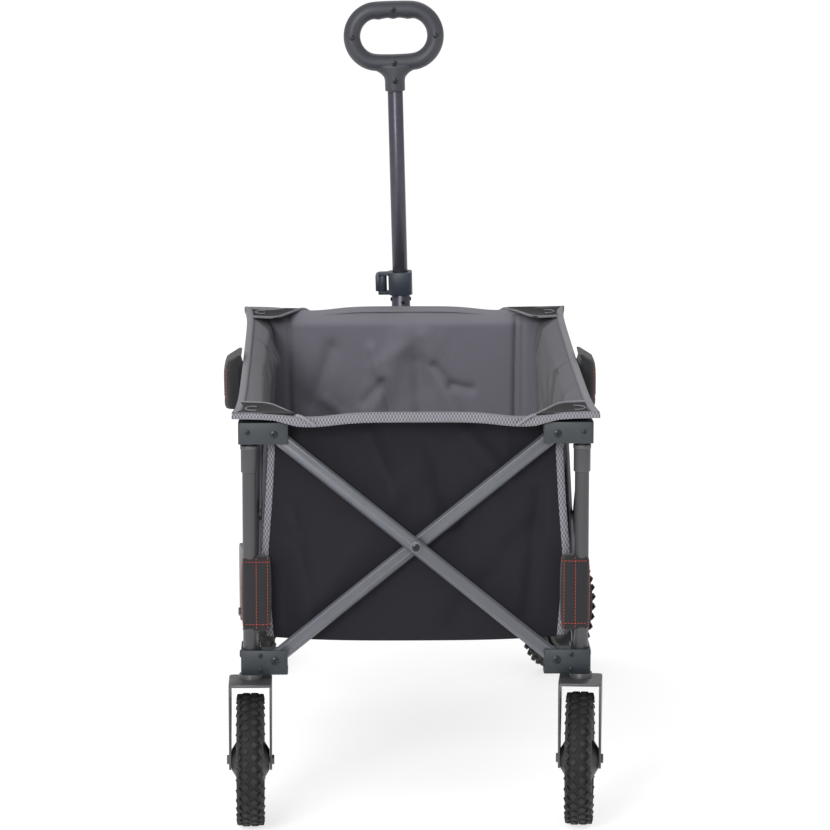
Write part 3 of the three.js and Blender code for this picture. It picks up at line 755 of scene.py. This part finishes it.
def binding(end, sign, lines):
    """Tape over the rim: from just inside the top, over the edge, and down the outside."""
    wall = bag_wall(end, sign, lines)
    over = ((-0.0195, -0.0027), (-0.0135, -0.0003)) if end else ()
    over += ((-0.0085, 0.0014), (-0.002, 0.0034), (0.0011, 0.0028))
    over += ((0.0016, -0.001), (0.0016, -0.006), (0.0008, -0.0105))

    def point(u, v):
        rim = wall(u, 1.0)
        s = abs(2 * u - 1)
        half = 0.245 if end else 0.457
        near_corner = min(1, max(0, (s * half - half + 0.085) / 0.03))
        step = v * (len(over) - 1)
        i = min(len(over) - 2, int(step))
        out, up = (over[i][k] + (over[i + 1][k] - over[i][k]) * (step - i) for k in (0, 1))
        up = max(up, -0.0105 + 0.005 * near_corner) + 0.0002
        way = Vector((0, sign, 0)) if end else Vector((sign, 0, 0))
        along = Vector((1, 0, 0)) if end else Vector((0, 1, 0))
        mitre = (1 if u > 0.5 else -1) * max(0, out) * (s**30)
        return rim + way * out + along * mitre + Vector((0, 0, up))

    return point


for name, (end, sign, lines) in walls.items():
    point = binding(end, sign, lines)
    flip = sign < 0 if end else sign > 0
    over = (lambda u, v, p=point: p(1 - u, v)) if flip else point
    hem = cloth_grid(name + "_binding", 200 if end else 320, 10, over, 0.0009, tape)
    folds_up(hem, name)

# ---- Corner pockets and piping ----
# At each corner a black mesh pocket hides the bracket; light piping edges it on the inside and
# runs on across the rim, and a half-moon of grey thread tacks it down.
pocket_cloth = cloth_finish("black pocket cloth", card(26, 26, 29), 0.0022, 0.6, 0.2, 0.95, 0.05)
# The piping has the tape's finish, with its painted shade in the hollows.
piping_cord = tape_finish("light piping", card(160, 159, 167), 0.0026)
thread_grey = cloth_finish("grey thread", card(120, 119, 126), 0.0006, 0.4, 0.1)


def cord_tube(name, points, radius, material):
    """A round piping or a line of thread through its points, as a mesh."""
    curve = bpy.data.curves.new(name, "CURVE")
    curve.dimensions = "3D"
    line = curve.splines.new("POLY")
    line.points.add(len(points) - 1)
    for dot, place in zip(line.points, points):
        dot.co = (*place, 1)
    curve.bevel_depth = radius
    curve.bevel_resolution = 2
    curve.use_fill_caps = True
    piece = bpy.data.objects.new(name, curve)
    bpy.context.scene.collection.objects.link(piece)
    bpy.ops.object.select_all(action="DESELECT")
    piece.select_set(True)
    bpy.context.view_layer.objects.active = piece
    bpy.ops.object.convert(target="MESH")
    piece = bpy.context.object
    piece.data.materials.clear()
    piece.data.materials.append(material)
    for face in piece.data.polygons:
        face.use_smooth = True
    lay_threads(piece)
    piece.name = name
    return piece


def rounded_path(points, steps=6):
    """Corners of a path softened by quadratic curves between the middles of its sides."""
    path = [points[0]]
    for before, corner, after in zip(points, points[1:], points[2:]):
        a, b = before.lerp(corner, 0.72), corner.lerp(after, 0.28)
        shares = [t / steps for t in range(steps + 1)]
        path += [a.lerp(corner, t).lerp(corner.lerp(b, t), t) for t in shares]
    return path + [points[-1]]


PIPING_PATH = (
    (0.236, 0.366, 0.5535),
    (0.193, 0.366, 0.5515),
    (0.158, 0.4535, 0.5505),
    (0.15, 0.4588, 0.5495),
    (0.132, 0.4592, 0.537),
)
for corner, sx, sy in CORNERS:
    tip, side, inner, back = (0.2425, 0.4545), (0.2345, 0.366), (0.193, 0.366), (0.156, 0.4545)

    def pocket_point(u, v, sx=sx, sy=sy):
        top = [side[i] + (tip[i] - side[i]) * u for i in (0, 1)]
        low = [inner[i] + (back[i] - inner[i]) * u for i in (0, 1)]
        x, y = (low[i] + (top[i] - low[i]) * v for i in (0, 1))
        sag = 0.0035 * math.sin(math.pi * u) * math.sin(math.pi * v)
        return spot(sx * x, sy * y, 0.5515 - sag + 0.0015 * v + lift(sy * y))

    pocket = cloth_grid(corner + "_pocket", 36, 30, pocket_point, 0.0012, pocket_cloth)
    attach(pocket, corner + "_top")
    ends = [spot(sx * x, sy * y, z + lift(sy * y)) for x, y, z in PIPING_PATH]
    piping = cord_tube(corner + "_piping", rounded_path(ends), 0.0021, piping_cord)
    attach(piping, corner + "_top")
    height = 0.5528 + lift(sy * 0.412)
    arc = np.linspace(-1.9, 1.9, 16)
    moon = [spot(sx * (0.214 + 0.011 * math.cos(t)), sy * (0.412 + 0.016 * math.sin(t)), height) for t in arc]
    tack = cord_tube(corner + "_tack_thread", moon, 0.0009, thread_grey)
    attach(tack, corner + "_top")

# ---- Edge strips of the end walls ----
# The same ribbed tape, 9 mm wide, binds the upright seams where the end walls meet the sides.


def surface(end, sign, a, z):
    """A point on a wall's outside, from its distance along the wall and its height."""
    point = bag_wall(end, sign, [])
    half = bag_half_width(z) if end else bag_half_length(z)
    return point((a / half + 1) / 2, 0.86 * (z - FLOOR_Z) / (TURN_Z - FLOOR_Z))


for name, sign in (("rear", -1), ("front", 1)):
    for side, sx in (("left", -1), ("right", 1)):

        def strip_point(u, v, sx=sx, sign=sign):
            z = 0.2455 + (0.5355 - 0.2455) * v
            a = sx * (bag_half_width(z) - 0.0005 - 0.0095 * u)
            crown = 0.0008 + 0.0014 * math.sin(math.pi * u)
            return surface(True, sign, a, z) + Vector((0, sign * crown, 0))

        strip = cloth_grid(f"{name}_{side}_edge_strip", 8, 120, strip_point, 0.0008, tape)
        folds_up(strip, name)

# ---- Bag floor and base mat ----
# The bag's floor is the same cloth; on it lies a fibreboard mat in two leaves, padded and
# covered in grey cloth, which fold with the frame along the wagon's middle.
mat_cloth = cloth_finish("grey mat cloth", card(80, 79, 87), 0.0015, 0.35, 0.15)
MAT_X, MAT_Y = mat_high.x - MIDDLE.x, mat_high.y - MIDDLE.y
for side, sx in (("left", -1), ("right", 1)):
    body = "rear_left_top" if side == "left" else "rear_right_top"

    def floor_point(u, v, sx=sx):
        x = 0.0002 + (0.2 - 0.0002) * u
        y = (2 * v - 1) * 0.4135
        return spot(sx * x, y * (1 - 0.012 * u), 0.2455 + 0.0006 * math.sin(21 * v) * math.sin(7 * u))

    base = cloth_grid(side + "_floor_cloth", 30, 90, floor_point, 0.0014, outer_cloth)
    if side == "left":
        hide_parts("bag_floor")
    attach(base, body)
    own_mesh(base)

    bpy.ops.object.select_all(action="DESELECT")
    bpy.ops.mesh.primitive_cube_add(
        size=1,
        location=spot(sx * MAT_X / 2, 0, 0.25135),
        scale=(MAT_X - 0.007, 2 * MAT_Y - 0.006, 0.0052),
    )
    leaf = bpy.context.object
    bpy.ops.object.transform_apply(location=True, rotation=True, scale=True)
    bpy.ops.object.mode_set(mode="EDIT")
    bpy.ops.mesh.select_all(action="SELECT")
    bpy.ops.mesh.bevel(offset=0.002, segments=3)
    bpy.ops.mesh.select_all(action="SELECT")
    bpy.ops.mesh.subdivide(number_cuts=24)
    bpy.ops.object.mode_set(mode="OBJECT")
    centre = spot(sx * MAT_X / 2, 0, 0)
    for v in leaf.data.vertices:
        x, y = (v.co.x - centre.x) / (MAT_X / 2), (v.co.y - centre.y) / MAT_Y
        if v.co.z > spot(0, 0, 0.252).z:
            v.co.z += 0.0012 * (1 - x**4) * (1 - y**4) * (0.7 + 0.3 * math.cos(8 * y) * math.cos(5 * x))
            v.co.z -= 0.001 * math.exp(-(((abs(y) - 0.5) / 0.006) ** 2))
    leaf.data.materials.append(mat_cloth)
    leaf.name = side + "_mat_leaf"
    smooth(leaf, 40)
    lay_threads(leaf)
    if side == "left":
        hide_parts("base_mat")
    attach(leaf, body)
    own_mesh(leaf)

# ---- Post sleeves ----
# Thin padded cloth sleeves wrap the posts and hold the bag's lower corners; they are black,
# topstitched in orange-red thread.
sleeve_cloth = cloth_finish("black sleeve cloth", card(40, 39, 42), 0.0011, 0.4, 0.16)
orange_thread = cloth_finish("orange-red thread", card(186, 72, 54), 0.0005, 0.3, 0.1, 0.7)
SLEEVE_LOW, SLEEVE_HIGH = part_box("rear_left_sleeve")
sleeve_size = SLEEVE_HIGH - SLEEVE_LOW


def swollen(piece, pressure, cap):
    """Inflates a closed shape as cloth, keeps each point within a cap, and smooths it."""
    before = [v.co.copy() for v in piece.data.vertices]
    cloth = piece.modifiers.new("filling", "CLOTH")
    cloth.settings.use_pressure = True
    cloth.settings.uniform_pressure_force = pressure
    cloth.settings.effector_weights.gravity = 0
    cloth.settings.quality = 5
    scene = bpy.context.scene
    scene.frame_start, scene.frame_end = 1, 20
    for step in range(1, 21):
        scene.frame_set(step)
    bpy.context.view_layer.update()
    shaped = piece.evaluated_get(bpy.context.evaluated_depsgraph_get())
    after = [v.co.copy() for v in shaped.data.vertices]
    piece.modifiers.remove(cloth)
    scene.frame_set(1)
    for v, old, new in zip(piece.data.vertices, before, after):
        move = new - old
        if move.length > cap:
            move.length = cap
        v.co = old + move


bpy.ops.object.select_all(action="DESELECT")
bpy.ops.mesh.primitive_cube_add(size=1, location=(0, 0, 0), scale=sleeve_size - Vector((0.004, 0.004, 0.002)))
sleeve = bpy.context.object
bpy.ops.object.transform_apply(location=True, rotation=True, scale=True)
bpy.ops.object.mode_set(mode="EDIT")
bpy.ops.mesh.select_all(action="SELECT")
bpy.ops.mesh.bevel(offset=0.004, segments=3)
bpy.ops.object.mode_set(mode="OBJECT")
grow = sleeve.modifiers.new("even cells", "REMESH")
grow.mode = "VOXEL"
grow.voxel_size = 0.0042
bpy.ops.object.modifier_apply(modifier="even cells")
swollen(sleeve, 4, 0.0022)
for v in sleeve.data.vertices:  # soft wrinkles across it, and the seams it is sewn down along
    v.co.y *= 1 - 0.03 * math.sin(95 * v.co.z + 30 * v.co.x)
    for line in (-0.042, 0.042):
        dent = 1 - 0.055 * math.exp(-(((v.co.z - line) / 0.004) ** 2))
        v.co.x *= 1 - (1 - dent) * 0.5
        v.co.y *= dent
finer = sleeve.modifiers.new("finer", "SUBSURF")
finer.levels = finer.render_levels = 1
bpy.ops.object.select_all(action="DESELECT")
sleeve.select_set(True)
bpy.context.view_layer.objects.active = sleeve
bpy.ops.object.modifier_apply(modifier="finer")
for face in sleeve.data.polygons:
    face.use_smooth = True
sleeve.data.materials.append(sleeve_cloth)

bpy.ops.object.select_all(action="DESELECT")
bpy.ops.mesh.primitive_ico_sphere_add(subdivisions=1, radius=1, location=(0, 0, 0))
stitch = bpy.context.object
bpy.ops.object.mode_set(mode="EDIT")
bpy.ops.mesh.select_all(action="SELECT")
bpy.ops.transform.resize(value=(0.0019, 0.0004, 0.0004))
bpy.ops.object.mode_set(mode="OBJECT")
stitch.data.materials.append(orange_thread)


def topstitch(target, lines, inward, name):
    """Stitches laid on a piece along straight lines, seen from outside along inward."""
    laid = []
    for start, end in lines:
        run = end - start
        count = int(run.length / 0.0042)
        axes = Matrix((run.normalized(), inward.cross(run.normalized()), inward)).transposed().to_4x4()
        for i in range(count + 1):
            place = start + run * (i / count)
            hit, where, normal, _ = target.ray_cast(place - inward * 0.03, inward)
            if hit:
                laid.append(copied(stitch, axes, where - inward * 0.0002))
    return joined(laid, name)


for corner, sx, sy in CORNERS:
    low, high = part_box(corner + "_sleeve")
    wrap = copied(sleeve, Matrix.Diagonal((sx * -1, sy * -1, 1, 1)), (low + high) / 2)
    if sx * sy < 0:
        wrap.data.flip_normals()
    wrap.name = corner + "_post_sleeve"
    lay_threads(wrap)
    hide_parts(corner + "_sleeve")
    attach(wrap, corner + "_leg")
    face_y = [(spot(sx * x, sy * 0.4495, 0.264), spot(sx * x, sy * 0.4495, 0.356)) for x in (0.1965, 0.2115)]
    face_y += [(spot(sx * 0.1945, sy * 0.4495, z), spot(sx * 0.229, sy * 0.4495, z)) for z in (0.268, 0.3525)]
    face_x = [(spot(sx * 0.2325, sy * y, 0.264), spot(sx * 0.2325, sy * y, 0.356)) for y in (0.4235, 0.4425)]
    bpy.context.view_layer.update()
    seams = topstitch(wrap, face_y, Vector((0, -sy, 0)), corner + "_end_stitches")
    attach(seams, corner + "_leg")
    seams = topstitch(wrap, face_x, Vector((-sx, 0, 0)), corner + "_side_stitches")
    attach(seams, corner + "_leg")
bpy.data.objects.remove(sleeve)

# ---- Side flaps ----
# Padded black webbing flaps, sewn under the rim at mid length, cover the middle brackets from
# outside and serve as carrying handles; they are topstitched like the sleeves.
flap_cloth = cloth_finish("black flap cloth", card(40, 41, 42), 0.0014, 0.45, 0.12)
FLAP_Z = (0.4885, 0.4925, 0.508, 0.530, 0.545, 0.5555, 0.5575, 0.565)
FLAP_OUT = (0.2600, 0.2617, 0.2625, 0.2628, 0.2625, 0.2590, 0.2565, 0.2440)
FLAP_IN = (0.2400, 0.2370, 0.2358, 0.2358, 0.2360, 0.2392, 0.2392, 0.2375)
bpy.ops.object.select_all(action="DESELECT")
bpy.ops.mesh.primitive_cube_add(size=2, location=(0, 0, 0))
tongue = bpy.context.object
bpy.ops.object.mode_set(mode="EDIT")
bpy.ops.mesh.select_all(action="SELECT")
bpy.ops.mesh.subdivide(number_cuts=39)
bpy.ops.object.mode_set(mode="OBJECT")
for v in tongue.data.vertices:
    across, along, up = v.co
    z = 0.5 * (FLAP_Z[0] + FLAP_Z[-1]) + 0.5 * (FLAP_Z[-1] - FLAP_Z[0]) * up
    inside, outside = float(np.interp(z, FLAP_Z, FLAP_IN)), float(np.interp(z, FLAP_Z, FLAP_OUT))
    full = 1 - 0.45 * along**6
    middle = inside + (outside - inside) * 0.35
    x = middle + (outside - middle if across > 0 else middle - inside) * across * full
    x += 0.0006 * math.sin(9 * along + 40 * z) * (1 - along**2) * max(0, across)
    for line in (0.503, 0.544):
        x -= 0.0009 * math.exp(-(((z - line) / 0.0022) ** 2)) * max(0, across)
    half = 0.042 - 0.005 * max(0, up) ** 6 - 0.005 * max(0, -up) ** 6 - 0.0015 * across**4
    v.co = (x, along * half, z)
tongue.data.materials.append(flap_cloth)
for face in tongue.data.polygons:
    face.use_smooth = True
for side, sx in (("left", -1), ("right", 1)):
    flap = copied(tongue, Matrix.Diagonal((sx, 1, 1, 1)), spot(0, 0, 0))
    if sx < 0:
        flap.data.flip_normals()
    flap.name = side + "_carry_flap"
    lay_threads(flap)
    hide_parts(side + "_flap")
    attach(flap, side + "_mid_upper")
    bpy.context.view_layer.update()
    rows = [(spot(sx * 0.262, -0.036, z), spot(sx * 0.262, 0.036, z)) for z in (0.544, 0.503)]
    rows += [(spot(sx * 0.262, y, 0.503), spot(sx * 0.262, y, 0.544)) for y in (-0.036, 0.036)]
    seams = topstitch(flap, rows, Vector((-sx, 0, 0)), side + "_flap_stitches")
    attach(seams, side + "_mid_upper")
bpy.data.objects.remove(tongue)
bpy.data.objects.remove(stitch)

# ---- Handle tubes, clevis and clamp ----
# Two anodised aluminium tubes slide in one another; a split nylon collar with a lever locks
# them, and the lower one hinges in a nylon clevis riveted to the front scissors.
anodised = hard_finish("grey anodised tube", card(69, 67, 76), 0.34, 0.55, 1800, 0.06, 0.08, 1.5)
clamp_plastic = hard_finish("blue-grey nylon", card(42, 48, 58), 0.45, 0, 700, 0.2)
dress("handle_tube", anodised, 0.0005)
dress("handle_rod", anodised, 0.0005)
dress("clamp_body", clamp_plastic, 0.0012)
dress("clamp_lever", clamp_plastic, 0.0012)
dress("handle_mount", lower_plastic, 0.001)
LEAN = math.radians(1.5)
HINGE = spot(0, 0.4785, 0.3715)
on_handle = Matrix.Translation(HINGE) @ Matrix.Rotation(-LEAN, 4, "Y")


def screws(places, name, body, size=1.0):
    """Screw heads on the handle, each from its place and outward direction."""
    heads = []
    for place, way in places:
        turn = Vector(way).to_track_quat("Z", "Y").to_matrix().to_4x4() @ Matrix.Diagonal((size, size, 1, 1))
        heads.append(copied(small_screw, on_handle @ Matrix.Translation(place) @ turn, Vector((0, 0, 0))))
    head = joined(heads, name)
    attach(head, body)


screws(
    [
        ((-0.0138, 0, 0.1995), (-1, 0, 0)),
        ((0.0138, 0, 0.1995), (1, 0, 0)),
        ((0.003, -0.0138, 0.1965), (0, -1, 0)),
    ],
    "tube_screws",
    "handle_lower",
)

# ---- Grip ----
# An oblong loop grip moulded in two soft grey halves that meet on its middle plane, with three
# finger swells under its top bar; five screws close it over the upper tube.
grip_plastic = hard_finish("soft grey grip", card(56, 57, 64), 0.42, 0, 1500, 0.3, 0.1, 1.3)
GRIP_Z = 0.5998
RING, BAR = 0.0402, 0.0129  # radii of the loop and of its bar
bpy.ops.object.select_all(action="DESELECT")
bpy.ops.mesh.primitive_torus_add(
    major_segments=96,
    minor_segments=32,
    major_radius=RING,
    minor_radius=BAR,
    location=(0, 0, 0),
    rotation=(math.pi / 2, 0, 0),
)
grip = bpy.context.object
bpy.ops.object.transform_apply(location=True, rotation=True, scale=True)
for v in grip.data.vertices:
    r = math.hypot(v.co.x, v.co.z)
    inner = max(0, (RING - r) / BAR)
    v.co.y *= 1.13
    side = math.tanh(v.co.x / 0.006)
    v.co.x += side * 0.0228
    if v.co.z > 0 and inner > 0:  # finger swells
        swell = 0.5 + 0.5 * math.cos(2 * math.pi * v.co.x / 0.021)
        v.co.z -= 0.0022 * inner * swell * (abs(v.co.x) < 0.032)
    if abs(v.co.y) < 0.0009:  # parting groove
        v.co.x *= 1 - 0.006 * (1 if r > RING else -1)
        v.co.z *= 1 - 0.01 * (1 if r > RING else -1)
bpy.ops.mesh.primitive_cylinder_add(vertices=40, radius=0.0152, depth=0.038, location=(0, 0, -0.064))
neck = bpy.context.object
bpy.ops.object.mode_set(mode="EDIT")
bpy.ops.mesh.select_all(action="SELECT")
bpy.ops.mesh.subdivide(number_cuts=6)
bpy.ops.object.mode_set(mode="OBJECT")
bpy.ops.object.transform_apply(location=True, rotation=True, scale=True)
for v in neck.data.vertices:  # shoulders spread into the loop
    up = max(0, (v.co.z + 0.066) / 0.016)
    v.co.x *= 1 + 1.1 * up**2
bpy.ops.object.select_all(action="DESELECT")
union = grip.modifiers.new("neck", "BOOLEAN")
union.operation = "UNION"
union.object = neck
union.solver = "EXACT"
grip.select_set(True)
bpy.context.view_layer.objects.active = grip
bpy.ops.object.modifier_apply(modifier="neck")
bpy.data.objects.remove(neck)
fuse = grip.modifiers.new("fuse", "REMESH")
fuse.mode = "VOXEL"
fuse.voxel_size = 0.0011
bpy.ops.object.modifier_apply(modifier="fuse")
ease = grip.modifiers.new("ease", "SMOOTH")
ease.factor = 0.5
ease.iterations = 5
bpy.ops.object.modifier_apply(modifier="ease")
for face in grip.data.polygons:
    face.use_smooth = True
grip.data.materials.clear()
grip.data.materials.append(grip_plastic)
grip.data.transform(on_handle @ Matrix.Translation((0, 0, GRIP_Z)))
grip.name = "loop_grip"
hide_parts("grip_back", "grip_front")
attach(grip, "handle_upper")
holes = [(-0.0628, 0, 0.0135), (0.0628, 0, 0.0135)]
holes += [(0, RING, 0.0142), (0, -RING, 0.0142), (0, -0.067, 0.0147)]
screws([((x, -y, GRIP_Z + z), (0, -1, 0)) for x, z, y in holes], "grip_screws", "handle_upper", 1.4)
bpy.data.objects.remove(small_screw)
